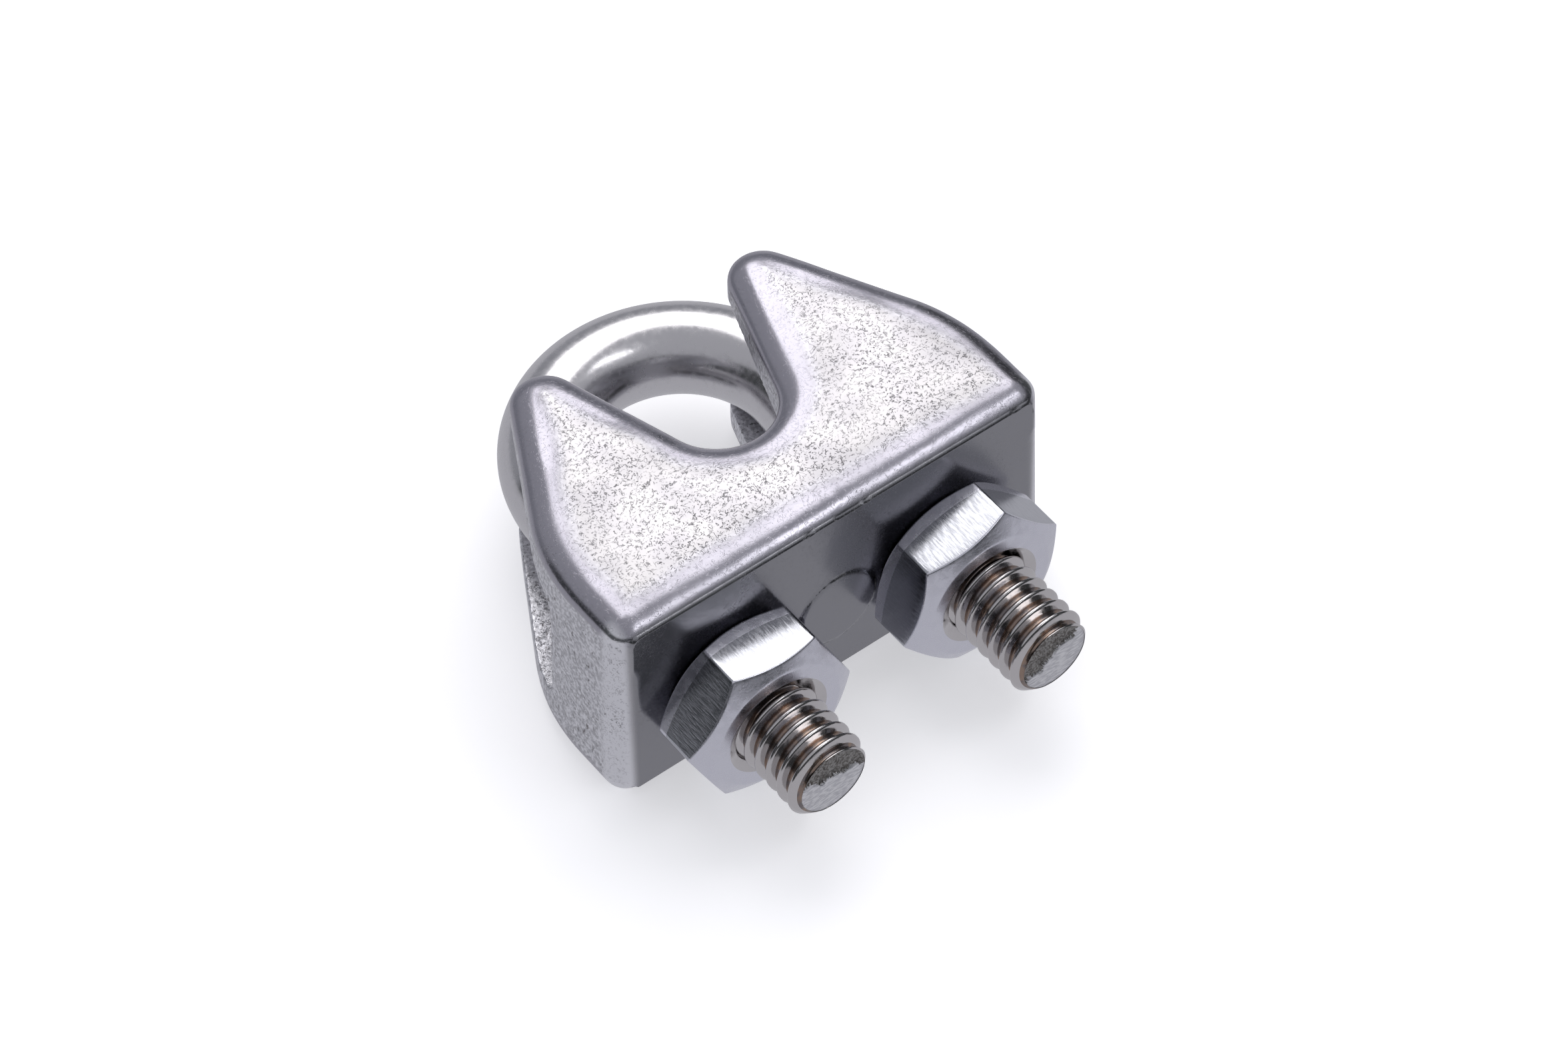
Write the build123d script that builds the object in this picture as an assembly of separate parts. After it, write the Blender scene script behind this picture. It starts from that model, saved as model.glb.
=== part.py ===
from build123d import *
import math
import os

# Wire rope clip, all lengths in millimetres.
# X runs from the left nut to the right nut, Y from the nuts towards the bow and Z
# along the rope. Pieces are drawn with the nut seat at Y = 0 and the rear face at
# Z = 0, then moved together so that the origin is the middle of the rope seat.

# Saddle outline
saddle_width = 21.2
saddle_thickness = 10.6
side_length = 5.4
side_bend_radius = 9.5
side_draft_angle = 2.2
edge_radius = 0.95
face_corner_radius = 0.12
horn_height = 13.5
horn_tip_radius = 1.5
horn_tip_spacing = 10.95
notch_radius = 2.45
notch_floor = 5.4

# Channel between the two horned plates
block_depth = 5.0
rear_plate_thickness = 1.9
front_plate_thickness = 2.9
front_plate_tip_thickness = 1.6
channel_clearance = 0.35
channel_corner_radius = 0.6

# Rod of the U-bolt
leg_spacing = 10.7
rod_diameter = 3.9
bow_centre = 10.55
bow_spread = 0.25
bow_spread_length = 3.0
left_leg_reach = 6.6
right_leg_reach = 7.2
leg_end_chamfer = 0.3
leg_hole_clearance = 0.25
leg_hole_chamfer = 0.2

# Thread, ISO metric coarse M4
thread_diameter = 3.86
thread_pitch = 0.7
thread_depth = 0.43
thread_crest_flat = 0.09
thread_flank_angle = 30
thread_length = 12.6
thread_root_overlap = 0.03
thread_spare_turns = 3

# Nut, hexagon M4
nut_across_flats = 7.0
nut_thickness = 3.1
nut_face_diameter = 6.1
nut_chamfer_angle = 30
nut_countersink_width = 0.47
nut_countersink_angle = 60
nut_bore_clearance = 0.15
nut_thread_clearance = 0.1
nut_seat_gap = 0.05
left_nut_corner_angle = 55.6
right_nut_corner_angle = 14.0

# Raised round pad cast on the nut seat
pad_diameter = 3.8
pad_rise = 0.12
pad_height = 4.4
pad_root_depth = 0.12


# Sizes that follow from those above
corner_radius = edge_radius + face_corner_radius
saddle_rear_width = saddle_width + 2 * saddle_thickness * math.tan(math.radians(side_draft_angle))
bolt_diameter = max(rod_diameter, thread_diameter)
leg_height = rear_plate_thickness + channel_clearance + bolt_diameter / 2
leg_hole_diameter = bolt_diameter + 2 * leg_hole_clearance
nut_bore_diameter = thread_diameter - 2 * thread_depth + 2 * nut_bore_clearance
nut_countersink_diameter = thread_diameter + 2 * nut_countersink_width

# Distance under which two coordinates count as equal
same = 1e-6


def tangent_angle(centre_from, centre_to, radius_sum):
    """Direction of the wall that passes between two circles and touches both."""
    run = centre_to[0] - centre_from[0]
    rise = centre_to[1] - centre_from[1]
    return math.atan2(rise, run) + math.asin(radius_sum / math.hypot(run, rise))


def mirrored(point):
    return (-point[0], point[1])


def saddle_outline(width):
    """Outline of the saddle at one height, seen along the rope."""
    half = width / 2
    tip = (horn_tip_spacing / 2, horn_height - horn_tip_radius)
    notch = (0, notch_floor + notch_radius)
    side = (half, side_length)

    wall = tangent_angle(notch, tip, notch_radius + horn_tip_radius)
    across = (math.sin(wall), -math.cos(wall))
    notch_touch = (notch[0] + notch_radius * across[0], notch[1] + notch_radius * across[1])
    inner_touch = (tip[0] - horn_tip_radius * across[0], tip[1] - horn_tip_radius * across[1])

    run = tip[0] - side[0]
    rise = tip[1] - side[1]
    slope = math.atan2(rise, run) - math.asin(horn_tip_radius / math.hypot(run, rise))
    outward = (math.sin(slope), -math.cos(slope))
    outer_touch = (tip[0] + horn_tip_radius * outward[0], tip[1] + horn_tip_radius * outward[1])

    top = (tip[0], horn_height)
    with BuildSketch() as sketch:
        with BuildLine():
            Line((0, 0), (half, 0))
            Line((half, 0), side)
            Line(side, outer_touch)
            ThreePointArc(outer_touch, top, inner_touch)
            Line(inner_touch, notch_touch)
            ThreePointArc(notch_touch, (0, notch_floor), mirrored(notch_touch))
            Line(mirrored(notch_touch), mirrored(inner_touch))
            ThreePointArc(mirrored(inner_touch), mirrored(top), mirrored(outer_touch))
            Line(mirrored(outer_touch), mirrored(side))
            Line(mirrored(side), (-half, 0))
            Line((-half, 0), (0, 0))
        make_face()
        bends = [v for v in sketch.vertices() if abs(v.Y - side_length) < same]
        fillet(bends, side_bend_radius)
        corners = [v for v in sketch.vertices() if abs(v.Y) < same and abs(v.X) > half - same]
        fillet(corners, corner_radius)
    return sketch.sketch


def leg_positions():
    """Middle of each leg in X, left then right."""
    return (-leg_spacing / 2, leg_spacing / 2)


def along_y(shape, x, y):
    """Turns a shape made about +Z so that it runs along +Y from (x, y, leg height)."""
    return Pos(x, y, leg_height) * Rot(-90, 0, 0) * shape


def make_saddle():
    """Cast saddle: wider at its rear face, with a channel between its two horned plates."""
    front = Pos(0, 0, saddle_thickness) * saddle_outline(saddle_width)
    body = loft([saddle_outline(saddle_rear_width).face(), front.face()], ruled=True)
    rims = body.edges().filter_by(lambda e: abs(e.center().Z) < same)
    rims += body.edges().filter_by(lambda e: abs(e.center().Z - saddle_thickness) < same)
    body = fillet(rims, edge_radius)

    mouth_y = horn_height + edge_radius
    channel_side = Polygon(
        (block_depth, rear_plate_thickness),
        (mouth_y, rear_plate_thickness),
        (mouth_y, saddle_thickness - front_plate_tip_thickness),
        (block_depth, saddle_thickness - front_plate_thickness),
        align=None,
    )
    channel = extrude(Plane.YZ * channel_side, saddle_rear_width / 2 + edge_radius, both=True)
    floor_edges = channel.edges().filter_by(Axis.X).group_by(Axis.Y)[0]
    body -= fillet(floor_edges, channel_corner_radius)

    pad = Cylinder(
        pad_diameter / 2, pad_rise + pad_root_depth, align=(Align.CENTER, Align.CENTER, Align.MIN)
    )
    body += Pos(0, pad_root_depth, pad_height) * Rot(90, 0, 0) * pad

    for x in leg_positions():
        hole_depth = block_depth + channel_corner_radius
        hole = Cylinder(leg_hole_diameter / 2, hole_depth, align=(Align.CENTER, Align.CENTER, Align.MIN))
        mouth = Cone(
            leg_hole_diameter / 2 + leg_hole_chamfer,
            leg_hole_diameter / 2,
            leg_hole_chamfer,
            align=(Align.CENTER, Align.CENTER, Align.MIN),
        )
        body -= along_y(hole, x, 0)
        body -= along_y(mouth, x, 0)
    return body


def thread_ridge(root_radius, crest_radius, length):
    """Helical ridge of the ISO profile standing along +Z, its middle passing through Z = 0."""
    crest_half = thread_crest_flat / 2
    root_half = crest_half + (crest_radius - root_radius) * math.tan(math.radians(thread_flank_angle))
    corners = (
        (root_radius, -root_half),
        (crest_radius, -crest_half),
        (crest_radius, crest_half),
        (root_radius, root_half),
    )
    curves = [(Pos(0, 0, offset) * Helix(thread_pitch, length, radius)).edge() for radius, offset in corners]
    faces = []
    for index, curve in enumerate(curves):
        faces.append(Face.make_surface_from_curves(curve, curves[(index + 1) % len(curves)]))
    for place in (0, 1):
        faces.append(Face(Wire.make_polygon([curve @ place for curve in curves], close=True)))
    return Solid(Shell(faces))


def threaded_cylinder(envelope, core_radius, crest_radius, first_turn, length):
    """Round core with its helical ridge, both trimmed to the envelope. A ridge turn starts at first_turn."""
    core = Cylinder(core_radius, length, align=(Align.CENTER, Align.CENTER, Align.MIN))
    ridge_length = length + thread_spare_turns * thread_pitch
    ridge = thread_ridge(core_radius - thread_root_overlap, crest_radius, ridge_length)
    return (core & envelope) + (Pos(0, 0, first_turn) * ridge & envelope)


def threaded_leg():
    """Threaded length of one leg, standing along +Z with its cut end at Z = 0."""
    crest_radius = thread_diameter / 2
    envelope = Cylinder(crest_radius, thread_length, align=(Align.CENTER, Align.CENTER, Align.MIN))
    envelope = chamfer(envelope.edges().group_by(Axis.Z)[0], leg_end_chamfer)
    core_radius = crest_radius - thread_depth
    return threaded_cylinder(envelope, core_radius, crest_radius, -thread_pitch, thread_length)


def bow_path():
    """Middle line of the rod, from the left leg round the slightly wider bow to the right leg."""
    left, right = leg_positions()
    bow_radius = leg_spacing / 2 + bow_spread
    left_tip = Vector(left, thread_length - left_leg_reach, leg_height)
    left_bend = Vector(left, bow_centre - bow_spread_length, leg_height)
    left_side = Vector(-bow_radius, bow_centre, leg_height)
    bow_top = Vector(0, bow_centre + bow_radius, leg_height)
    right_side = Vector(bow_radius, bow_centre, leg_height)
    right_bend = Vector(right, bow_centre - bow_spread_length, leg_height)
    right_tip = Vector(right, thread_length - right_leg_reach, leg_height)
    up = Vector(0, 1, 0)
    return Wire(
        [
            Edge.make_line(left_tip, left_bend),
            Edge.make_spline([left_bend, left_side], tangents=[up, up]),
            Edge.make_three_point_arc(left_side, bow_top, right_side),
            Edge.make_spline([right_side, right_bend], tangents=[-up, -up]),
            Edge.make_line(right_bend, right_tip),
        ]
    )


def make_u_bolt():
    left, right = leg_positions()
    rod_path = bow_path()
    section = Plane(origin=rod_path @ 0, z_dir=rod_path % 0) * Circle(rod_diameter / 2)
    body = sweep(section, rod_path)
    for x, reach in ((left, left_leg_reach), (right, right_leg_reach)):
        body += along_y(threaded_leg(), x, -reach)
    return body


def make_nut(leg_reach, corner_angle):
    """Hexagon nut standing along +Z, outer face at Z = 0, its thread in step with the leg's."""
    largest_radius = nut_across_flats
    chamfer_height = (largest_radius - nut_face_diameter / 2) * math.tan(math.radians(nut_chamfer_angle))
    chamfered_profile = Plane.XZ * Polygon(
        (0, 0),
        (nut_face_diameter / 2, 0),
        (largest_radius, chamfer_height),
        (largest_radius, nut_thickness - chamfer_height),
        (nut_face_diameter / 2, nut_thickness),
        (0, nut_thickness),
        align=None,
    )
    hexagon = extrude(RegularPolygon(nut_across_flats / 2, 6, major_radius=False), nut_thickness)
    nut = (Rot(0, 0, -corner_angle) * hexagon) & revolve(chamfered_profile, Axis.Z)

    sink_radius = nut_countersink_diameter / 2
    sink_depth = sink_radius / math.tan(math.radians(nut_countersink_angle))
    outer_sink = Cone(sink_radius, 0, sink_depth, align=(Align.CENTER, Align.CENTER, Align.MIN))
    inner_sink = Pos(0, 0, nut_thickness) * Rot(180, 0, 0) * outer_sink

    groove_crest = thread_diameter / 2 + nut_thread_clearance
    envelope = Cylinder(nut_across_flats / 2, nut_thickness, align=(Align.CENTER, Align.CENTER, Align.MIN))
    outer_face_depth = leg_reach - nut_seat_gap - nut_thickness
    first_turn = -(outer_face_depth % thread_pitch) - thread_pitch
    bore = threaded_cylinder(envelope, nut_bore_diameter / 2, groove_crest, first_turn, nut_thickness)
    return nut - bore - outer_sink - inner_sink


def place_nut(leg_x, leg_reach, corner_angle):
    return along_y(make_nut(leg_reach, corner_angle), leg_x, -nut_seat_gap - nut_thickness)


def build():
    left, right = leg_positions()
    nodes = {
        "saddle": make_saddle(),
        "u_bolt": make_u_bolt(),
        "nut_left": place_nut(left, left_leg_reach, left_nut_corner_angle),
        "nut_right": place_nut(right, right_leg_reach, right_nut_corner_angle),
    }
    to_rope_seat = Pos(0, -notch_floor - notch_radius, -saddle_thickness / 2)
    os.makedirs("parts", exist_ok=True)
    for name, shape in nodes.items():
        export_step(to_rope_seat * shape, f"parts/{name}.step")


build()
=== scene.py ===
import math

import bmesh
import bpy
import numpy as np
from mathutils import Matrix, Vector
from mathutils.kdtree import KDTree


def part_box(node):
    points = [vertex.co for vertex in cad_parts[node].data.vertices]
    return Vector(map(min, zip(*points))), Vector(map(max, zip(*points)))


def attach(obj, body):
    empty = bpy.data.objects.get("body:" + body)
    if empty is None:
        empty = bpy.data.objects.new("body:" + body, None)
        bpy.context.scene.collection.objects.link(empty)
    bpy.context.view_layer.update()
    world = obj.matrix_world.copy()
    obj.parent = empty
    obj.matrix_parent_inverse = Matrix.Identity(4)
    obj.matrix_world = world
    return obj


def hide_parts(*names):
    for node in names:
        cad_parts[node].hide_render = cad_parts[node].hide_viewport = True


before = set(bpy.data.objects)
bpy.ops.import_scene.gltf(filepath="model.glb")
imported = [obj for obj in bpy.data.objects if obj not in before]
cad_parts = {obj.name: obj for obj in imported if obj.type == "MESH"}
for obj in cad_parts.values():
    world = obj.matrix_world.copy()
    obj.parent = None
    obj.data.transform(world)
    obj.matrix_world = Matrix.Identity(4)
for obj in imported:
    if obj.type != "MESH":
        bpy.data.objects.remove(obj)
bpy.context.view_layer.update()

# The meshes are made in millimetres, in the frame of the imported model, and scaled to
# metres once, in add_piece. X runs from the left nut to the right nut, Y from the nuts
# to the bow and Z along the rope, upwards from the floor.
MM = 0.001
WELD_DISTANCE = 0.002

# Thread, ISO metric coarse M4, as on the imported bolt
THREAD_RADIUS = 1.93
THREAD_PITCH = 0.7
THREAD_DEPTH = 0.43
THREAD_CREST_FLAT = 0.09
THREAD_FLANK_ANGLE = 30
THREAD_LENGTH = 12.6
THREAD_STEPS = 20
THREAD_ROUNDING_SHARE = 0.45
ROOT_SHARE = 0.72

# Rod and legs of the U-bolt
ROD_RADIUS = 1.95
LEG_END_CHAMFER = 0.3
AROUND_ROD = 96
ALONG_BOW = 96
ALONG_SPREAD = 12
ALONG_LEG = 8
BOW_SPREAD_LENGTH = 3.0
LEFT_LEG_REACH = 6.6
RIGHT_LEG_REACH = 7.2

# Materials of the U-bolt, by their place in its list
THREAD_SLOT, ROD_SLOT, CUT_SLOT, ROOT_SHADE_SLOT, TORN_SLOT = range(5)

# Sheared leg ends: the torn part lies deeper than the smooth part
CAP_RINGS = 26
CAP_RIM_SHARE = 0.12
CAP_RIM_DEPTH = 0.02
TORN_DEPTH = 0.07
TORN_ROUGHNESS = 0.10
TORN_BORDER = 0.1
TORN_BORDER_WIDTH = 0.12
LEFT_END_SEED, LEFT_END_TILT = 5, 0.25
RIGHT_END_SEED, RIGHT_END_TILT = 11, -0.6

# Nut, hexagon M4
NUT_ACROSS_FLATS = 7.0
NUT_FACE_RADIUS = 3.05
NUT_CHAMFER_ANGLE = 30
NUT_COUNTERSINK_RADIUS = 2.4
NUT_COUNTERSINK_ANGLE = 60
NUT_BORE_RADIUS = 1.65
NUT_GROOVE_RADIUS = 2.03
NUT_SEAT_GAP = 0.05
NUT_CORNER_ROUNDING = 0.09
NUT_EDGE_ROUNDING = 0.07
EDGE_STEPS = 5
EDGE_SPANS = 5
AROUND_NUT = 288
LEFT_NUT_CORNER = 55.6
RIGHT_NUT_CORNER = 14.0

# Saddle: unevenness as heights, crown of the shown face, rounded seat corners and pad
SADDLE_GRAIN = 0.1
SADDLE_FACE_WIDTH = 21.2
BROAD_UNEVENNESS, BROAD_CELL = 0.022, 3.4
FINE_UNEVENNESS, FINE_CELL = 0.010, 1.3
UNEVENNESS_LEVEL = 0.02
CROWN_WIDTH = 1.9
CROWN_WANDER, CROWN_CELL = 0.2, 2.5
CROWN_DROP = 0.22
RIM_HEIGHT = 0.95
RIM_LEVEL = 0.3
CORNER_RADIUS = 1.1
CORNER_FADE = 2.2
SEAT_BAND = 0.3
SEAT_INSET = 0.01
PAD_RADIUS = 1.9
PAD_RISE = 0.12
PAD_EDGE = 0.16
PAD_HEIGHT = 4.4

# Places of the masks on the cast steel
FACE_MASK = (0.16, 0.04)
RIM_MASK = (1.05, 0.85)
SEAT_MASK = (0.35, 0.1)
# The corner masks place a painted reflection: the seat corners are painted lighter, for the bright
# floor they mirror.
CORNER_REFLECTION_IN = (1.1, 0.6)
CORNER_REFLECTION_UP = (1.5, 0.9)

# Camera: azimuth and elevation of its place, its roll, distance and lens, and how far
# it is moved sideways and upwards from the middle of the front lower edge
CAMERA_AZIMUTH = 36.713
CAMERA_ELEVATION = 51.203
CAMERA_ROLL = -0.873
CAMERA_DISTANCE = 222.217
CAMERA_ASIDE = -2.171
CAMERA_UP = 6.158
CAMERA_SENSOR = 36
CAMERA_LENS = 124.9333

# Studio, in metres
FLOOR_HALF = 1.5
CARD_HALF = 0.24
CARD_GAP = 0.0001
WALL_RADIUS = 0.25
WALL_GAP = 0.001
WALL_FACES = 32


def node_box(name):
    """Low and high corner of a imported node, in millimetres."""
    low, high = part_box(name)
    return np.array(low) / MM, np.array(high) / MM


saddle_low, saddle_high = node_box("saddle")
left_low, left_high = node_box("nut_left")
right_low, right_high = node_box("nut_right")
bolt_high = node_box("u_bolt")[1]
left_axis = (left_low + left_high) / 2
right_axis = (right_low + right_high) / 2
seat_y = left_high[1] + NUT_SEAT_GAP
left_tip_y = seat_y - LEFT_LEG_REACH
right_tip_y = seat_y - RIGHT_LEG_REACH
face_height = (saddle_high[2] - saddle_low[2]) / 2
face_side = SADDLE_FACE_WIDTH / 2
floor_z = saddle_low[2] * MM
rear_side = saddle_high[0]


# ---------------------------------------------------------------- mesh helpers


def grid_faces(rows, columns, wrap_columns):
    """Quads of a rows by columns grid of vertices, row by row."""
    row = np.arange(rows - 1)[:, None]
    column = np.arange(columns if wrap_columns else columns - 1)[None, :]
    after = (column + 1) % columns
    quads = np.stack(
        [
            row * columns + column,
            row * columns + after,
            (row + 1) * columns + after,
            (row + 1) * columns + column,
        ],
        axis=-1,
    )
    return quads.reshape(-1, 4)


def join_grids(grids):
    """One vertex array and face list from [(points, faces, material index)]."""
    points, faces, slots = [], [], []
    offset = 0
    for grid_points, grid_quads, slot in grids:
        points.append(grid_points)
        faces.extend((grid_quads + offset).tolist())
        slots.extend([slot] * len(grid_quads))
        offset += len(grid_points)
    return np.concatenate(points), faces, slots


def add_piece(name, points, faces, slots, materials):
    """A smooth mesh object from points in millimetres, with doubled points welded."""
    mesh = bpy.data.meshes.new(name)
    mesh.from_pydata((points * MM).tolist(), [], faces)
    mesh.polygons.foreach_set("material_index", slots)
    build = bmesh.new()
    build.from_mesh(mesh)
    bmesh.ops.remove_doubles(build, verts=build.verts, dist=WELD_DISTANCE * MM)
    bmesh.ops.dissolve_degenerate(build, edges=build.edges, dist=WELD_DISTANCE * MM)
    bmesh.ops.recalc_face_normals(build, faces=build.faces)
    build.to_mesh(mesh)
    build.free()
    mesh.polygons.foreach_set("use_smooth", [True] * len(mesh.polygons))
    for material in materials:
        mesh.materials.append(material)
    piece = bpy.data.objects.new(name, mesh)
    bpy.context.scene.collection.objects.link(piece)
    return piece


def smooth_step(value):
    """Eased step from 0 to 1 while the value goes from 0 to 1."""
    clipped = np.clip(value, 0, 1)
    return clipped * clipped * (3 - 2 * clipped)


def lattice_noise(points, cell, seed):
    """Smooth value noise from -1 to 1 for an array of points, one lattice value per cell."""
    scaled = points / cell + 1000.0
    corner = np.floor(scaled).astype(np.int64)
    inside = smooth_step(scaled - corner)
    total = np.zeros(len(points))
    for dx in (0, 1):
        for dy in (0, 1):
            for dz in (0, 1):
                at = corner + np.array([dx, dy, dz])
                mixed = at[:, 0] * 374761393 + at[:, 1] * 668265263
                mixed += at[:, 2] * 2147483647 + seed * 974711
                mixed = (mixed ^ (mixed >> 13)) * 1274126177
                value = ((mixed ^ (mixed >> 16)) & 0xFFFF) / 32767.5 - 1
                weight = np.where(dx, inside[:, 0], 1 - inside[:, 0])
                weight = weight * np.where(dy, inside[:, 1], 1 - inside[:, 1])
                weight = weight * np.where(dz, inside[:, 2], 1 - inside[:, 2])
                total += value * weight
    return total


# ---------------------------------------------------------------- threads


def thread_depth_at(along, angle):
    """Share of the thread's depth, 0 on the crest and 1 in the root."""
    phase = (along / THREAD_PITCH - angle / (2 * math.pi) + 0.5) % 1 - 0.5
    from_crest = np.abs(phase) * THREAD_PITCH
    flank = THREAD_DEPTH * math.tan(math.radians(THREAD_FLANK_ANGLE))
    ramp = np.clip((from_crest - THREAD_CREST_FLAT / 2) / flank, 0, 1)
    straight = (1 - THREAD_ROUNDING_SHARE) * ramp
    return straight + THREAD_ROUNDING_SHARE * smooth_step(ramp)


def helical_grid(length, around):
    """Distances and angles of a grid whose rows follow the thread, within 0 to length."""
    turns = int(math.ceil(length / THREAD_PITCH)) + 2
    rows = np.arange(turns * THREAD_STEPS + 1) / THREAD_STEPS * THREAD_PITCH - THREAD_PITCH
    angle = np.arange(around + 1) / around * 2 * math.pi
    along = rows[:, None] + angle[None, :] / (2 * math.pi) * THREAD_PITCH
    return np.clip(along, 0, length), np.broadcast_to(angle, along.shape)


def on_leg(radius, angle, along, leg_x, leg_z, start_y):
    """Points at a radius and angle about a leg, at a distance along it from start_y."""
    return np.stack(
        [leg_x + radius * np.cos(angle), start_y + along, leg_z - radius * np.sin(angle)], axis=-1
    )


# ---------------------------------------------------------------- U-bolt


def leg_grid(axis, tip_y):
    """The threaded part of a leg: its crests and flanks, and apart from them its roots, which
    carry painted shade and a painted warm reflection.
    """
    along, angle = helical_grid(THREAD_LENGTH, AROUND_ROD)
    radius = THREAD_RADIUS - THREAD_DEPTH * thread_depth_at(along, angle)
    envelope = THREAD_RADIUS - LEG_END_CHAMFER + np.minimum(along, LEG_END_CHAMFER)
    radius = np.minimum(radius, envelope)
    end = along >= THREAD_LENGTH
    radius = np.where(end, ROD_RADIUS, radius)
    points = on_leg(radius, angle, along, axis[0], axis[2], tip_y).reshape(-1, 3)
    rows, columns = along.shape
    quads = grid_faces(rows, columns, False)
    # The deepest faces take the root steel, with its painted shade and painted warm reflection.
    deep = radius.reshape(-1)[quads].mean(axis=1) < THREAD_RADIUS - THREAD_DEPTH * ROOT_SHARE
    return [(points, quads[~deep], THREAD_SLOT), (points, quads[deep], ROOT_SHADE_SLOT)]


def leg_cap(axis, tip_y, seed, tilt):
    """The sheared end: a smooth lower part and a rougher, slightly deeper upper part."""
    share = np.linspace(0, 1, CAP_RINGS + 1)[:, None]
    angle = np.arange(AROUND_ROD)[None, :] / AROUND_ROD * 2 * math.pi
    rim_depth = THREAD_DEPTH * thread_depth_at(0 * angle, angle)
    rim = np.minimum(THREAD_RADIUS - rim_depth, THREAD_RADIUS - LEG_END_CHAMFER)
    radius = share * rim
    angles = np.broadcast_to(angle, radius.shape)
    flat = np.stack([radius * np.cos(angles), 0 * radius, -radius * np.sin(angles)], axis=-1)
    flat = flat.reshape(-1, 3)
    edge = smooth_step((1 - np.linalg.norm(flat, axis=1) / rim.max()) / CAP_RIM_SHARE)
    wander = 0.28 * lattice_noise(flat, 0.55, seed) + 0.12 * lattice_noise(flat, 0.2, seed + 1)
    level = flat[:, 2] * math.cos(tilt) + flat[:, 0] * math.sin(tilt) + wander
    upper = smooth_step((level - TORN_BORDER) / TORN_BORDER_WIDTH)
    coarse = 0.5 + 0.5 * lattice_noise(flat, 0.16, seed + 2)
    depth = edge * upper * (TORN_DEPTH + TORN_ROUGHNESS * coarse) + CAP_RIM_DEPTH * (1 - edge)
    points = flat + np.array([axis[0], tip_y, axis[2]])
    points[:, 1] += depth
    return points, grid_faces(CAP_RINGS + 1, AROUND_ROD, True), upper


def bow_line():
    """Middle line of the plain rod as (x, y) points, from the left thread to the right one."""
    half = (right_axis[0] - left_axis[0]) / 2
    bow_radius = bolt_high[0] - ROD_RADIUS
    centre_y = bolt_high[1] - ROD_RADIUS - bow_radius
    bend_y = centre_y - BOW_SPREAD_LENGTH
    rise = np.linspace(0, 1, ALONG_SPREAD)
    spread_x = half + (bow_radius - half) * smooth_step(rise)
    spread_y = bend_y + BOW_SPREAD_LENGTH * rise
    turn = np.linspace(0, math.pi, ALONG_BOW)
    left_leg = np.linspace([-half, left_tip_y + THREAD_LENGTH], [-half, bend_y], ALONG_LEG)
    right_leg = np.linspace([half, bend_y], [half, right_tip_y + THREAD_LENGTH], ALONG_LEG)
    left_spread = np.stack([-spread_x, spread_y], axis=-1)
    right_spread = np.stack([spread_x, spread_y], axis=-1)[::-1]
    bow_x = -bow_radius * np.cos(turn)
    bow_y = centre_y + bow_radius * np.sin(turn)
    bow = np.stack([bow_x, bow_y], axis=-1)
    return np.concatenate(
        [left_leg[:-1], left_spread[:-1], bow, right_spread[1:], right_leg[1:]]
    )


def bow_grid():
    """The plain rod round its middle line."""
    line = bow_line()
    way = np.gradient(line, axis=0)
    way /= np.linalg.norm(way, axis=1)[:, None]
    inward = np.stack([way[:, 1], -way[:, 0]], axis=-1)
    angle = np.arange(AROUND_ROD + 1) / AROUND_ROD * 2 * math.pi
    points = np.empty((len(line), AROUND_ROD + 1, 3))
    for axis in (0, 1):
        offset = ROD_RADIUS * np.cos(angle) * inward[:, None, axis]
        points[:, :, axis] = line[:, None, axis] + offset
    points[:, :, 2] = left_axis[2] - ROD_RADIUS * np.sin(angle)
    return points.reshape(-1, 3), grid_faces(len(line), AROUND_ROD + 1, False)


def make_u_bolt(materials):
    """The U-bolt as one mesh, with a material for each kind of surface."""
    grids = []
    for axis, tip_y in ((left_axis, left_tip_y), (right_axis, right_tip_y)):
        grids += leg_grid(axis, tip_y)
    grids.append((*bow_grid(), ROD_SLOT))
    for axis, tip_y, seed, tilt in (
        (left_axis, left_tip_y, LEFT_END_SEED, LEFT_END_TILT),
        (right_axis, right_tip_y, RIGHT_END_SEED, RIGHT_END_TILT),
    ):
        points, quads, upper = leg_cap(axis, tip_y, seed, tilt)
        torn = upper[quads].mean(axis=1) > 0.5
        grids.append((points, quads[~torn], CUT_SLOT))
        grids.append((points, quads[torn], TORN_SLOT))
    points, faces, slots = join_grids(grids)
    piece = add_piece("u_bolt_visual", points, faces, slots, materials)
    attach(piece, "u_bolt")
    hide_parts("u_bolt")


# ---------------------------------------------------------------- nuts


def hexagon_radius(angle, corner_angle):
    """Distance from the axis to the side of a hexagon with rounded corners."""
    apothem = NUT_ACROSS_FLATS / 2
    sixth = math.pi / 3
    from_corner = (angle - corner_angle + sixth / 2) % sixth - sixth / 2
    from_flat = sixth / 2 - np.abs(from_corner)
    straight = apothem / np.cos(from_flat)
    reach = (apothem - NUT_CORNER_ROUNDING) / math.cos(sixth / 2)
    inside = np.maximum(NUT_CORNER_ROUNDING**2 - (reach * np.sin(from_corner)) ** 2, 0)
    rounded = reach * np.cos(from_corner) + np.sqrt(inside)
    flat_half = (apothem - NUT_CORNER_ROUNDING) * math.tan(sixth / 2)
    on_flat = apothem * np.tan(from_flat) <= flat_half
    return np.where(on_flat, straight, rounded)


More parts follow.
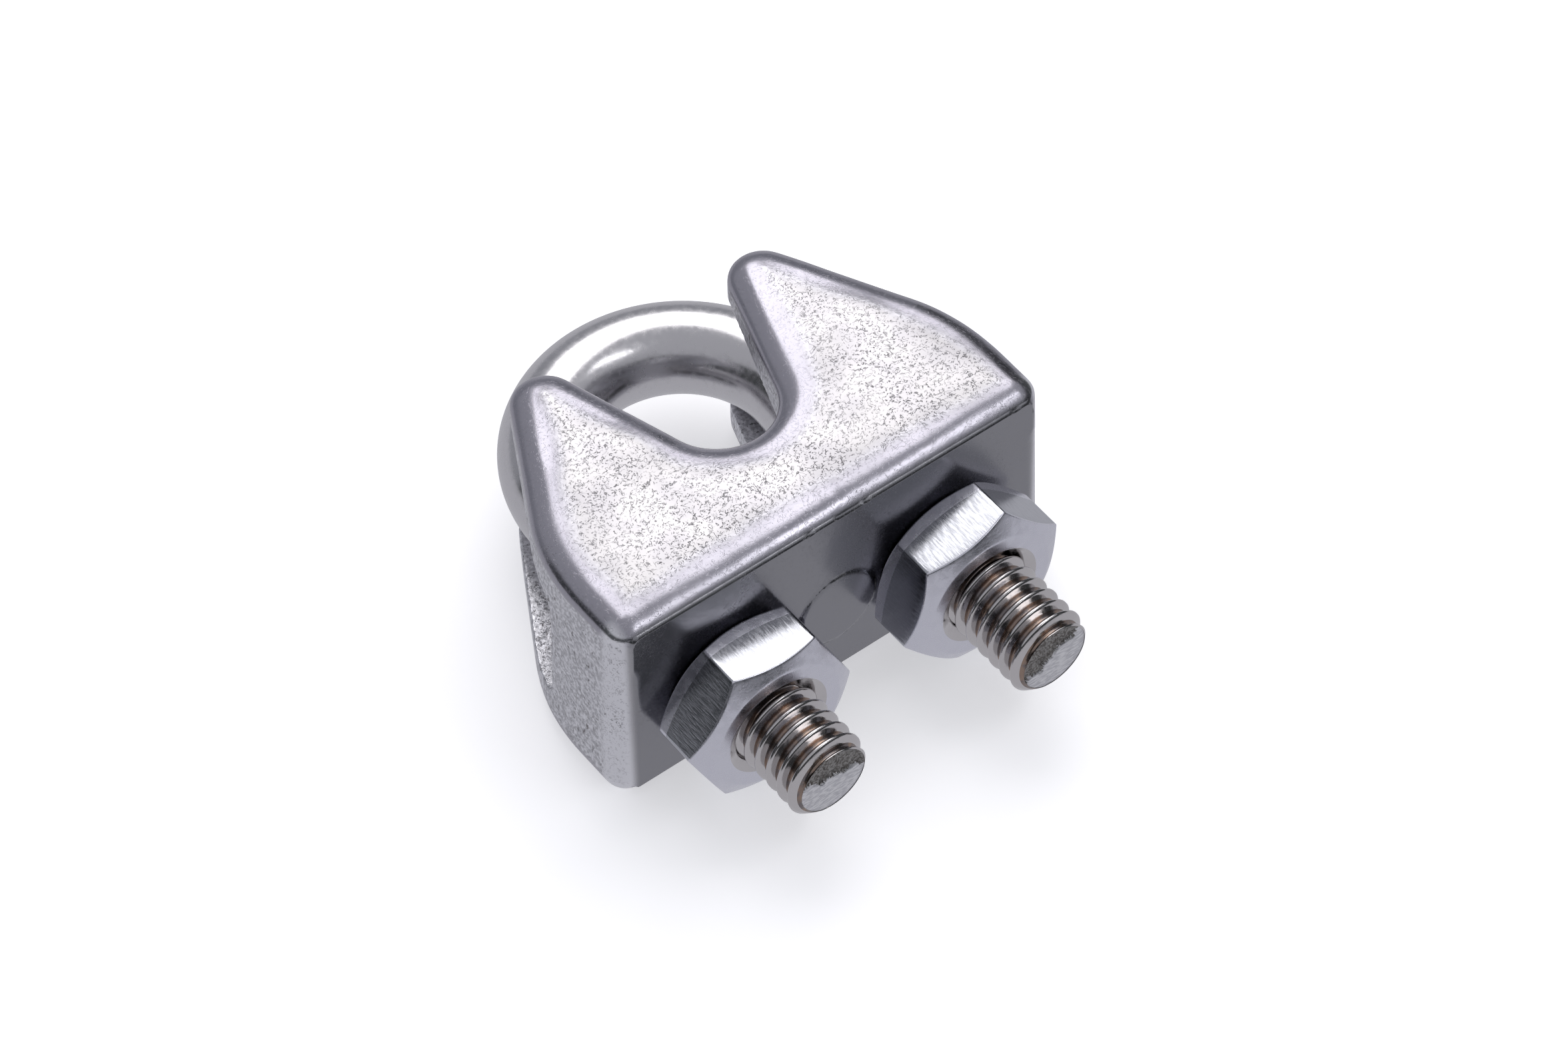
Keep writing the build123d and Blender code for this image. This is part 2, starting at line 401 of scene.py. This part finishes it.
def rounded_path(corners, rounding, steps, spans):
    """A path of (radius, depth) arrays through corners, each inner one rounded."""
    out = [corners[0]]
    for before, corner, after in zip(corners, corners[1:], corners[2:]):
        ends = []
        for other in (before, after):
            way = [o - c for o, c in zip(other, corner)]
            size = np.sqrt(way[0] ** 2 + way[1] ** 2)
            cut = np.minimum(rounding, 0.45 * size) / size
            ends.append([c + w * cut for c, w in zip(corner, way)])
        start = out[-1]
        for k in range(1, spans):
            share = k / spans
            out.append([a + (b - a) * share for a, b in zip(start, ends[0])])
        for k in range(steps + 1):
            t = k / steps
            bend = zip(ends[0], corner, ends[1])
            out.append([a * (1 - t) ** 2 + 2 * c * t * (1 - t) + b * t**2 for a, c, b in bend])
    start = out[-1]
    for k in range(1, spans + 1):
        share = k / spans
        out.append([a + (b - a) * share for a, b in zip(start, corners[-1])])
    return out


def nut_grids(axis, outer_y, inner_y, corner_angle, tip_y):
    """Outside and threaded bore of a nut, its thread in step with the leg that ends at tip_y."""
    thickness = inner_y - outer_y
    turned, flat, thread = 0, 1, 2
    angle = np.arange(AROUND_NUT + 1) / AROUND_NUT * 2 * math.pi
    side = hexagon_radius(angle, -math.radians(corner_angle))
    rise = np.maximum(side - NUT_FACE_RADIUS, 0) * math.tan(math.radians(NUT_CHAMFER_ANGLE))
    zero = np.zeros_like(side)
    corners = [
        [zero + NUT_COUNTERSINK_RADIUS, zero],
        [zero + NUT_FACE_RADIUS, zero],
        [side, rise],
        [side, thickness - rise],
        [zero + NUT_FACE_RADIUS, zero + thickness],
        [zero + NUT_COUNTERSINK_RADIUS, zero + thickness],
    ]
    path = rounded_path(corners, NUT_EDGE_ROUNDING, EDGE_STEPS, EDGE_SPANS)
    radius = np.array([p[0] for p in path])
    depth = np.array([p[1] for p in path])
    angles = np.broadcast_to(angle, radius.shape)
    points = on_leg(radius, angles, depth, axis[0], axis[2], outer_y)
    quads = grid_faces(len(path), AROUND_NUT + 1, False)
    block = EDGE_SPANS + EDGE_STEPS
    first_flat, last_flat = 2 * block, 3 * block - EDGE_STEPS - 1
    row = np.arange(len(quads)) // AROUND_NUT
    is_flat = (row >= first_flat) & (row < last_flat)
    grids = [
        (points.reshape(-1, 3), quads[~is_flat], turned),
        (points.reshape(-1, 3), quads[is_flat], flat),
    ]

    along, turn = helical_grid(thickness, AROUND_NUT)
    leg_along = along + outer_y - tip_y
    groove = 1 - thread_depth_at(leg_along, turn)
    bore = NUT_BORE_RADIUS + (NUT_GROOVE_RADIUS - NUT_BORE_RADIUS) * groove
    slope = math.tan(math.radians(NUT_COUNTERSINK_ANGLE))
    from_face = np.minimum(along, thickness - along)
    sink = NUT_COUNTERSINK_RADIUS - from_face * slope
    bore = np.maximum(bore, sink)
    inner = on_leg(bore, turn, along, axis[0], axis[2], outer_y)
    rows, columns = along.shape
    grids.append((inner.reshape(-1, 3), grid_faces(rows, columns, False), thread))
    return grids


def make_nut(node, low, high, corner_angle, tip_y, materials):
    grids = nut_grids((low + high) / 2, low[1], high[1], corner_angle, tip_y)
    points, faces, slots = join_grids(grids)
    piece = add_piece(node + "_visual", points, faces, slots, materials)
    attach(piece, node)
    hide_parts(node)


# ---------------------------------------------------------------- saddle


def remeshed(node, grain):
    """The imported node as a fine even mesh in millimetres, and its points."""
    source = bpy.data.objects.new("remesh_source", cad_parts[node].data.copy())
    bpy.context.scene.collection.objects.link(source)
    source.data.transform(Matrix.Scale(1 / MM, 4))
    build = bmesh.new()
    build.from_mesh(source.data)
    bmesh.ops.remove_doubles(build, verts=build.verts, dist=0.0005)
    build.to_mesh(source.data)
    build.free()
    remesh = source.modifiers.new("remesh", "REMESH")
    remesh.mode = "VOXEL"
    remesh.voxel_size = grain
    remesh.adaptivity = 0
    smooth = source.modifiers.new("smooth", "SMOOTH")
    smooth.factor = 0.5
    smooth.iterations = 3
    evaluated = source.evaluated_get(bpy.context.evaluated_depsgraph_get())
    mesh = bpy.data.meshes.new_from_object(evaluated)
    bpy.data.objects.remove(source)
    points = np.empty(len(mesh.vertices) * 3, np.float32)
    mesh.vertices.foreach_get("co", points)
    return mesh, points.reshape(-1, 3).astype(float)


def made_uneven(points, normals):
    """The faces of a hand-finished casting are a little uneven."""
    uneven = BROAD_UNEVENNESS * lattice_noise(points, BROAD_CELL, 3)
    uneven += FINE_UNEVENNESS * lattice_noise(points, FINE_CELL, 4)
    inward = np.minimum(uneven - UNEVENNESS_LEVEL, 0)
    return points + normals * inward[:, None]


def crown_face(points, normals):
    """The shown face falls off gently towards its rim, and the rim goes with it."""
    upper = (points[:, 2] > face_height - RIM_HEIGHT) & (normals[:, 2] > 0.05)
    near_rim = np.abs(points[:, 2] - face_height + RIM_LEVEL) < SADDLE_GRAIN * 0.7
    rim_points = points[near_rim]
    tree = KDTree(len(rim_points))
    for index, (x, y, _) in enumerate(rim_points):
        tree.insert((x, y, 0), index)
    tree.balance()
    from_rim = np.array([tree.find((x, y, 0))[2] for x, y, _ in points[upper]])
    from_rim *= points[upper, 2] > face_height - RIM_LEVEL
    wander = 1 + CROWN_WANDER * lattice_noise(points[upper], CROWN_CELL, 8)
    fall = 1 - smooth_step(from_rim / (CROWN_WIDTH * wander))
    share = smooth_step((points[upper, 2] - face_height + RIM_HEIGHT) / RIM_HEIGHT)
    points[upper, 2] -= CROWN_DROP * fall * share


def raise_pad(points, normals):
    """The flat nut seat with its round pad."""
    pad_z = saddle_low[2] + PAD_HEIGHT
    seat = normals[:, 1] < -0.9
    seat &= np.abs(points[:, 1] - seat_y) < SEAT_BAND
    from_pad = np.hypot(points[:, 0], points[:, 2] - pad_z)
    level = smooth_step((PAD_RADIUS - from_pad) / PAD_EDGE + 0.5)
    points[seat, 1] = seat_y + SEAT_INSET - (PAD_RISE - SEAT_INSET) * level[seat]


def round_seat_corners(points):
    """Below the shown face the corners between the nut seat and the sides are rounded."""
    depth = face_height - points[:, 2]
    corner = CORNER_RADIUS * smooth_step((depth - RIM_HEIGHT) / CORNER_FADE)
    corner = np.maximum(corner, SADDLE_GRAIN)
    side_place = face_side + depth * (rear_side - face_side) / (2 * face_height)
    from_side = corner - (side_place - np.abs(points[:, 0]))
    from_seat = corner - (points[:, 1] - seat_y)
    reach = np.hypot(from_side, from_seat)
    near = (from_side > 0) & (from_seat > 0) & (reach > corner)
    pulled = corner[near] / reach[near]
    points[near, 1] = seat_y + corner[near] - from_seat[near] * pulled
    outward = side_place[near] - corner[near] + from_side[near] * pulled
    points[near, 0] = np.sign(points[near, 0]) * outward


def make_saddle(material):
    mesh, points = remeshed("saddle", SADDLE_GRAIN)
    normals = np.empty(len(mesh.vertices) * 3, np.float32)
    mesh.vertices.foreach_get("normal", normals)
    normals = normals.reshape(-1, 3).astype(float)
    points = made_uneven(points, normals)
    crown_face(points, normals)
    raise_pad(points, normals)
    round_seat_corners(points)
    mesh.vertices.foreach_set("co", (points * MM).astype(np.float32).ravel())
    mesh.polygons.foreach_set("use_smooth", [True] * len(mesh.polygons))
    mesh.materials.clear()
    mesh.materials.append(material)
    mesh.update()
    piece = bpy.data.objects.new("saddle_visual", mesh)
    bpy.context.scene.collection.objects.link(piece)
    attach(piece, "saddle")
    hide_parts("saddle")


# ---------------------------------------------------------------- materials


class Nodes:
    """Short way to build the node tree of one steel, with lengths in millimetres.

    The colour and roughness given at the start hold where no node is put in their place.
    """

    def __init__(self, name, colour, roughness):
        self.material = bpy.data.materials.new(name)
        self.material.use_nodes = True
        self.tree = self.material.node_tree
        self.shader = self.tree.nodes["Principled BSDF"]
        self.shader.inputs["Base Color"].default_value = (*colour, 1)
        self.shader.inputs["Metallic"].default_value = 1
        self.shader.inputs["Roughness"].default_value = roughness
        place = self.tree.nodes.new("ShaderNodeTexCoord")
        scale = self.tree.nodes.new("ShaderNodeVectorMath")
        scale.operation = "SCALE"
        scale.inputs["Scale"].default_value = 1 / MM
        self.link(place.outputs["Object"], scale.inputs[0])
        self.place = scale.outputs[0]

    def link(self, source, target):
        self.tree.links.new(source, target)

    def put(self, target, value):
        if hasattr(value, "is_linked"):
            self.link(value, target)
        else:
            target.default_value = value

    def math(self, operation, first, second=0.0, clamp=False):
        made = self.tree.nodes.new("ShaderNodeMath")
        made.operation = operation
        made.use_clamp = clamp
        for target, value in zip(made.inputs, (first, second)):
            self.put(target, value)
        return made.outputs[0]

    def product(self, first, second):
        return self.math("MULTIPLY", first, second)

    def larger(self, first, second):
        return self.math("MAXIMUM", first, second)

    def rest_of(self, share):
        """What a share from 0 to 1 leaves over."""
        return self.math("SUBTRACT", 1, share)

    def stretched(self, vector, scale):
        made = self.tree.nodes.new("ShaderNodeVectorMath")
        made.operation = "MULTIPLY"
        self.put(made.inputs[0], vector)
        made.inputs[1].default_value = scale
        return made.outputs[0]

    def noise(self, size, detail=2.0, distortion=0.0, vector=None):
        """Noise whose features are about size millimetres across, from 0 to 1."""
        made = self.tree.nodes.new("ShaderNodeTexNoise")
        self.put(made.inputs["Vector"], self.place if vector is None else vector)
        made.inputs["Scale"].default_value = 1 / size
        made.inputs["Detail"].default_value = detail
        made.inputs["Distortion"].default_value = distortion
        return made.outputs["Fac"]

    def cells(self, size):
        """Distance from the middle of scattered cells, in cell sizes."""
        made = self.tree.nodes.new("ShaderNodeTexVoronoi")
        self.put(made.inputs["Vector"], self.place)
        made.inputs["Scale"].default_value = 1 / size
        return made.outputs["Distance"]

    def ramp(self, value, low, high, out_low=0.0, out_high=1.0):
        made = self.tree.nodes.new("ShaderNodeMapRange")
        made.interpolation_type = "SMOOTHSTEP"
        for name, number in zip(
            ("Value", "From Min", "From Max", "To Min", "To Max"),
            (value, low, high, out_low, out_high),
        ):
            self.put(made.inputs[name], number)
        return made.outputs[0]

    def mix(self, share, first, second):
        made = self.tree.nodes.new("ShaderNodeMix")
        made.data_type = "RGBA"
        self.put(made.inputs["Factor"], share)
        self.put(made.inputs["A"], (*first, 1) if isinstance(first, tuple) else first)
        self.put(made.inputs["B"], (*second, 1) if isinstance(second, tuple) else second)
        return made.outputs["Result"]

    def bump(self, height, depth, normal=None):
        """Relief from a height of 0 to 1 that stands depth millimetres tall."""
        made = self.tree.nodes.new("ShaderNodeBump")
        made.inputs["Strength"].default_value = 1
        made.inputs["Distance"].default_value = depth * MM
        self.put(made.inputs["Height"], height)
        if normal is not None:
            self.link(normal, made.inputs["Normal"])
        return made.outputs[0]

    def separate(self, vector):
        made = self.tree.nodes.new("ShaderNodeSeparateXYZ")
        self.put(made.inputs[0], vector)
        return made.outputs

    def set(self, name, value):
        self.put(self.shader.inputs[name], value)


def scribbles(steel, line_size, break_size, width, share):
    """Short curved strokes, 1 on a stroke and 0 off it."""
    line = steel.math("ABSOLUTE", steel.math("SUBTRACT", steel.noise(line_size, 2, 1.2), 0.5))
    stroke = steel.ramp(line, width, 0)
    part = steel.ramp(steel.noise(break_size, 1), share, share + 0.04)
    return steel.product(stroke, part)


def cast_marks(steel, smooth_parts):
    """Strokes and pits left by tumbling, 0 to 1, few of them on the smooth parts."""
    strokes = scribbles(steel, 0.36, 0.24, 0.020, 0.50)
    fine = scribbles(steel, 0.22, 0.16, 0.028, 0.52)
    pits = steel.ramp(steel.cells(0.9), 0.085, 0.045)
    marks = steel.larger(steel.larger(strokes, fine), pits)
    dense = steel.ramp(steel.noise(3.2, 2), 0.35, 0.62, 0.45, 0.85)
    kept = steel.rest_of(steel.product(smooth_parts, 0.8))
    return steel.product(steel.product(marks, dense), kept)


def make_cast_steel():
    """Cast saddle: satin scribbled faces, granular sides, polished rims and nut seat, with painted
    shade on the flat seat and a painted reflection on its corners.
    """
    steel = Nodes("cast_steel", (0.50, 0.49, 0.51), 0.36)
    x, y, z = steel.separate(steel.place)
    height = steel.math("ABSOLUTE", z)
    face_low, face_high = FACE_MASK
    face = steel.ramp(height, face_height - face_low, face_height - face_high)
    rim_low, rim_high = RIM_MASK
    above_rim = steel.ramp(height, face_height - rim_low, face_height - rim_high)
    rim = steel.math("SUBTRACT", above_rim, face)
    seat_far, seat_near = SEAT_MASK
    seat = steel.product(steel.ramp(y, seat_y + seat_far, seat_y + seat_near), steel.rest_of(face))
    polished = steel.larger(rim, seat)
    side = steel.math("SUBTRACT", 1, steel.larger(face, polished), clamp=True)
    inner, outer = CORNER_REFLECTION_IN
    across = steel.ramp(steel.math("ABSOLUTE", x), rear_side - inner, rear_side - outer)
    upper, lower = CORNER_REFLECTION_UP
    corner = steel.product(across, steel.ramp(y, seat_y + upper, seat_y + lower))
    off_corner_reflection = steel.rest_of(corner)
    shaded_flat_seat = steel.product(seat, off_corner_reflection)

    marks = cast_marks(steel, polished)
    patch = steel.ramp(steel.noise(1.6, 3), 0.3, 0.7)
    tone = steel.mix(patch, (0.48, 0.47, 0.48), (0.42, 0.41, 0.43))
    grains = steel.ramp(steel.noise(0.18, 3), 0.35, 0.65)
    tone = steel.mix(side, tone, steel.mix(grains, (0.80, 0.80, 0.84), (0.50, 0.50, 0.53)))
    tone = steel.mix(rim, tone, (0.40, 0.39, 0.44))
    # Painted reflection: the rounded corners between the seat and the sides are painted light, for
    # the bright floor they mirror.
    tone = steel.mix(corner, tone, (0.80, 0.80, 0.84))
    # Painted shade: the flat nut seat gets a dark base colour that stands in for the shade the
    # nuts cast on it.
    tone = steel.mix(shaded_flat_seat, tone, (0.29, 0.29, 0.31))
    upright = steel.stretched(steel.place, (2.2, 2.2, 0.9))
    dents = steel.ramp(steel.noise(0.42, 2, 0.6, upright), 0.64, 0.70)
    dents = steel.product(dents, steel.product(side, off_corner_reflection))
    tone = steel.mix(dents, tone, (0.24, 0.23, 0.24))
    steel.set("Base Color", steel.mix(marks, tone, (0.28, 0.27, 0.28)))

    base = steel.ramp(steel.noise(5.0, 2), 0.3, 0.7, 0.28, 0.38)
    smoother = steel.product(steel.larger(rim, shaded_flat_seat), -0.10)
    rough = steel.math("ADD", base, steel.math("ADD", smoother, steel.product(marks, 0.2)))
    steel.set("Roughness", steel.math("ADD", rough, steel.product(side, 0.08)))

    grain_height = steel.product(steel.noise(0.12, 2), steel.math("ADD", 0.25, side))
    grain = steel.bump(grain_height, 0.008)
    rolling = steel.bump(steel.noise(0.9, 2), 0.008, grain)
    steel.set("Normal", steel.bump(steel.rest_of(marks), 0.012, rolling))
    return steel.material


def make_rod_steel():
    """Drawn and polished rod with faint streaks along it."""
    steel = Nodes("rod_steel", (0.64, 0.63, 0.65), 0.2)
    streaks = steel.noise(0.25, 3)
    steel.set("Roughness", steel.ramp(streaks, 0.3, 0.7, 0.18, 0.28))
    steel.set("Normal", steel.bump(steel.noise(0.5, 3), 0.006))
    return steel.material


def make_thread_steel():
    """Rolled thread, the brightest of the steels."""
    steel = Nodes("thread_steel", (0.60, 0.58, 0.58), 0.12)
    steel.set("Roughness", steel.ramp(steel.noise(0.2, 3), 0.3, 0.7, 0.08, 0.20))
    steel.set("Normal", steel.bump(steel.noise(0.25, 2), 0.004))
    return steel.material


def make_root_shade_steel():
    """Bottom of the thread's groove, painted darker and warmer than its crests: painted shade in
    the groove and a painted warm reflection in its brown spots.
    """
    steel = Nodes("root_shade_steel", (0.26, 0.20, 0.16), 0.25)
    spots = steel.ramp(steel.noise(0.5, 3), 0.35, 0.65)
    steel.set("Base Color", steel.mix(spots, (0.34, 0.25, 0.20), (0.20, 0.18, 0.18)))
    steel.set("Normal", steel.bump(steel.noise(0.15, 2), 0.006))
    return steel.material


def make_cut_steel():
    """Smooth lower part of a sheared leg end, streaked by the blade."""
    steel = Nodes("cut_steel", (0.74, 0.74, 0.76), 0.36)
    along = steel.stretched(steel.place, (1.5, 1.0, 5.0))
    streaks = steel.noise(0.5, 3, 0.0, along)
    tone = steel.mix(steel.ramp(streaks, 0.4, 0.6), (0.78, 0.78, 0.80), (0.58, 0.58, 0.61))
    steel.set("Base Color", tone)
    steel.set("Roughness", steel.ramp(steel.noise(0.3, 3), 0.3, 0.7, 0.28, 0.46))
    steel.set("Normal", steel.bump(steel.noise(0.12, 3, 0.0, along), 0.010))
    return steel.material


def make_torn_steel():
    """Rough upper part of a sheared leg end."""
    steel = Nodes("torn_steel", (0.30, 0.29, 0.28), 0.5)
    grains = steel.ramp(steel.noise(0.10, 3), 0.4, 0.6)
    steel.set("Base Color", steel.mix(grains, (0.16, 0.15, 0.14), (0.36, 0.35, 0.34)))
    steel.set("Normal", steel.bump(steel.noise(0.09, 3), 0.03))
    return steel.material


def make_lit_turned_steel():
    """End faces and chamfers of the nuts; their lighter, lilac base colour is painted light over
    the turned finish.
    """
    steel = Nodes("lit_turned_steel", (0.72, 0.72, 0.79), 0.22)
    steel.set("Roughness", steel.ramp(steel.noise(0.4, 3), 0.3, 0.7, 0.20, 0.32))
    steel.set("Normal", steel.bump(steel.noise(0.10, 2), 0.003))
    return steel.material


def make_shaded_facet_steel():
    """Flats of the nuts, drawn along their length; their darker base colour is painted shade, for
    the dark surroundings they mirror.
    """
    steel = Nodes("shaded_facet_steel", (0.48, 0.49, 0.53), 0.14)
    along = steel.stretched(steel.place, (6, 1, 6))
    scratches = steel.noise(0.5, 3, 0.0, along)
    steel.set("Roughness", steel.ramp(scratches, 0.35, 0.7, 0.14, 0.26))
    steel.set("Normal", steel.bump(scratches, 0.004))
    return steel.material


cast_steel = make_cast_steel()
rod_steel = make_rod_steel()
thread_steel = make_thread_steel()
cut_steel = make_cut_steel()
root_shade_steel = make_root_shade_steel()
torn_steel = make_torn_steel()
lit_turned_steel = make_lit_turned_steel()
shaded_facet_steel = make_shaded_facet_steel()

make_saddle(cast_steel)
make_u_bolt([thread_steel, rod_steel, cut_steel, root_shade_steel, torn_steel])
# The nuts' flats carry painted shade and their turned faces painted light in their base colours.
nut_steels = [lit_turned_steel, shaded_facet_steel, thread_steel]
make_nut("nut_left", left_low, left_high, LEFT_NUT_CORNER, left_tip_y, nut_steels)
make_nut("nut_right", right_low, right_high, RIGHT_NUT_CORNER, right_tip_y, nut_steels)


# ---------------------------------------------------------------- floor, light, camera


def square(half, z):
    """Points and face of a level square about the origin, in metres."""
    return [(-half, -half, z), (half, -half, z), (half, half, z), (-half, half, z)], [(0, 1, 2, 3)]


def make_floor():
    mesh = bpy.data.meshes.new("floor")
    points, faces = square(FLOOR_HALF, floor_z)
    mesh.from_pydata(points, [], faces)
    floor = bpy.data.objects.new("floor", mesh)
    bpy.context.scene.collection.objects.link(floor)
    material = bpy.data.materials.new("floor_paper")
    material.use_nodes = True
    shader = material.node_tree.nodes["Principled BSDF"]
    shader.inputs["Base Color"].default_value = (0.93, 0.93, 0.96, 1)
    shader.inputs["Roughness"].default_value = 0.6
    shader.inputs["Specular IOR Level"].default_value = 0.1
    shader.inputs["Emission Color"].default_value = (1, 1, 1, 1)
    shader.inputs["Emission Strength"].default_value = 0.42
    mesh.materials.append(material)


def make_card(name, points, faces, colour, strength):
    """A card that only reflections show, so that the steel mirrors more than white."""
    mesh = bpy.data.meshes.new(name)
    mesh.from_pydata(points, [], faces)
    card = bpy.data.objects.new(name, mesh)
    bpy.context.scene.collection.objects.link(card)
    material = bpy.data.materials.new(name)
    material.use_nodes = True
    shader = material.node_tree.nodes["Principled BSDF"]
    shader.inputs["Base Color"].default_value = (0, 0, 0, 1)
    shader.inputs["Specular IOR Level"].default_value = 0
    shader.inputs["Emission Color"].default_value = (*colour, 1)
    shader.inputs["Emission Strength"].default_value = strength
    mesh.materials.append(material)
    card.visible_camera = False
    card.visible_shadow = False
    card.visible_diffuse = False


def wall_arc(height, start, end):
    """Points and faces of an upright wall round the clip between two angles in degrees."""
    step = math.radians(end - start) / WALL_FACES
    turns = [math.radians(start) + step * k for k in range(WALL_FACES + 1)]
    ring = [(WALL_RADIUS * math.cos(t), WALL_RADIUS * math.sin(t)) for t in turns]
    low, high = floor_z + WALL_GAP, floor_z + height
    points = [(x, y, low) for x, y in ring] + [(x, y, high) for x, y in ring]
    after = WALL_FACES + 1
    faces = [(k, k + 1, after + k + 1, after + k) for k in range(WALL_FACES)]
    return points, faces


def make_cards():
    make_card("dark_wall", *wall_arc(0.16, 130, 400), (0.9, 0.95, 1), 0.06)
    make_card("grey_wall", *wall_arc(0.10, 40, 130), (0.9, 0.92, 1), 0.35)
    make_card("floor_card", *square(CARD_HALF, floor_z + CARD_GAP), (0.94, 0.94, 1), 0.56)


def make_world():
    world = bpy.data.worlds.new("studio")
    bpy.context.scene.world = world
    world.use_nodes = True
    background = world.node_tree.nodes["Background"]
    background.inputs["Color"].default_value = (0.93, 0.94, 1, 1)
    background.inputs["Strength"].default_value = 0.5


def area_light(name, place, size, power, colour):
    """A rectangular lamp that points at the origin."""
    light = bpy.data.lights.new(name, "AREA")
    light.shape = "RECTANGLE"
    light.size, light.size_y = size
    light.energy = power
    light.color = colour
    lamp = bpy.data.objects.new(name, light)
    lamp.location = place
    lamp.rotation_mode = "QUATERNION"
    lamp.rotation_quaternion = (-Vector(place)).to_track_quat("-Z", "Y")
    bpy.context.scene.collection.objects.link(lamp)


def make_camera():
    azimuth = math.radians(CAMERA_AZIMUTH)
    elevation = math.radians(CAMERA_ELEVATION)
    roll = math.radians(CAMERA_ROLL)
    back = Vector(
        (
            -math.sin(azimuth) * math.cos(elevation),
            -math.cos(azimuth) * math.cos(elevation),
            math.sin(elevation),
        )
    )
    right = (-back).cross(Vector((0, 0, 1))).normalized()
    up = right.cross(-back)
    rolled_right = right * math.cos(roll) + up * math.sin(roll)
    rolled_up = up * math.cos(roll) - right * math.sin(roll)
    seat = Vector((0, seat_y, saddle_low[2]))
    place = seat + back * CAMERA_DISTANCE + rolled_right * CAMERA_ASIDE + rolled_up * CAMERA_UP
    data = bpy.data.cameras.new("camera")
    data.lens = CAMERA_LENS
    data.sensor_width = CAMERA_SENSOR
    data.clip_start = 0.01
    data.clip_end = 10
    camera = bpy.data.objects.new("camera", data)
    turn = Matrix((rolled_right, rolled_up, back)).transposed().to_4x4()
    camera.matrix_world = Matrix.Translation(place * MM) @ turn
    bpy.context.scene.collection.objects.link(camera)
    bpy.context.scene.camera = camera


make_floor()
make_world()
make_cards()
area_light("key", (0.15, 0.2, 0.32), (0.3, 0.3), 0.62, (1, 0.98, 0.97))
area_light("strip", (0.13, -0.14, 0.29), (0.16, 0.03), 0.08, (1, 1, 1))
make_camera()
bpy.context.scene.view_settings.view_transform = "Standard"
